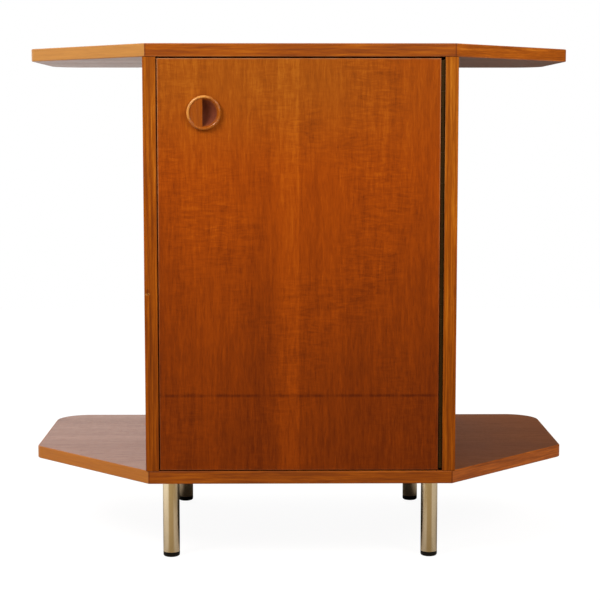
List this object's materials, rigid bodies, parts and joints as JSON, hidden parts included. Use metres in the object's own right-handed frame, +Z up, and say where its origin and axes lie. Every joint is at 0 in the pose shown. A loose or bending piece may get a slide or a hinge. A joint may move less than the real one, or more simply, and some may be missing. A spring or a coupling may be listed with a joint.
{
  "type": "sewing table",
  "caption": "Low cabinet with a hinged door between two wing-shaped boards, on round metal tube legs, with a shelf and a thread rack inside.",
  "frame": {"origin": "on the floor, under the middle of the two boards' outline", "axes": "+X to the hinge side of the door, +Y to the back, +Z up; the door faces -Y"},
  "size_m": [0.8, 0.466, 0.735],
  "materials": {
    "teak_veneer": "satin oiled veneer",
    "teak_solid": "satin oiled edge",
    "turned_teak": "satin, turned",
    "plywood": "matt",
    "beech": "matt",
    "leg_metal": "polished, champagne tint",
    "black_plastic": "satin",
    "brass": "aged",
    "steel": "zinc plated",
    "catch_plastic": "satin",
    "magnet": "matt ferrite"
  },
  "bodies": {
    "carcass": {"top_board": "teak_veneer", "top_edge_band": "teak_solid", "bottom_board": "teak_veneer", "bottom_edge_band": "teak_solid", "side_panel_left": "teak_veneer", "side_panel_right": "teak_veneer", "side_lipping_left": "teak_solid", "side_lipping_right": "teak_solid", "back_panel": "plywood", "back_panel_brads": "steel", "carcass_dowels": "beech", "shelf": "teak_veneer", "shelf_lipping": "teak_solid", "shelf_supports": "steel", "hinge_leaf_frame": "brass", "hinge_pin": "brass", "hinge_screws_frame": "brass", "catch_housing": "catch_plastic", "catch_magnet": "magnet", "catch_poles": "steel", "catch_screws": "steel", "leg_plate_screws": "steel", "leg_plate_front_left": "steel", "leg_plate_front_right": "steel", "leg_plate_rear_left": "steel", "leg_plate_rear_right": "steel", "leg_stud_front_left": "steel", "leg_stud_front_right": "steel", "leg_stud_rear_left": "steel", "leg_stud_rear_right": "steel", "leg_tube_front_left": "leg_metal", "leg_tube_front_right": "leg_metal", "leg_tube_rear_left": "leg_metal", "leg_tube_rear_right": "leg_metal", "foot_cap_front_left": "black_plastic", "foot_cap_front_right": "black_plastic", "foot_cap_rear_left": "black_plastic", "foot_cap_rear_right": "black_plastic"},
    "door": {"door_panel": "teak_veneer", "door_lipping": "teak_solid", "knob": "turned_teak", "knob_screw": "steel", "hinge_leaf_door": "brass", "hinge_screws_door": "brass", "catch_strike": "steel", "strike_screws": "steel", "thread_rack": "plywood", "thread_pegs": "beech", "rack_screws": "steel"}
  },
  "joints": [
    {"name": "door_hinge", "type": "hinge", "parent": "carcass", "child": "door", "pos_m": [0.1975, -0.2282, 0.4255], "axis": [0, 0, 1], "range_deg": [0, 110]}
  ]
}
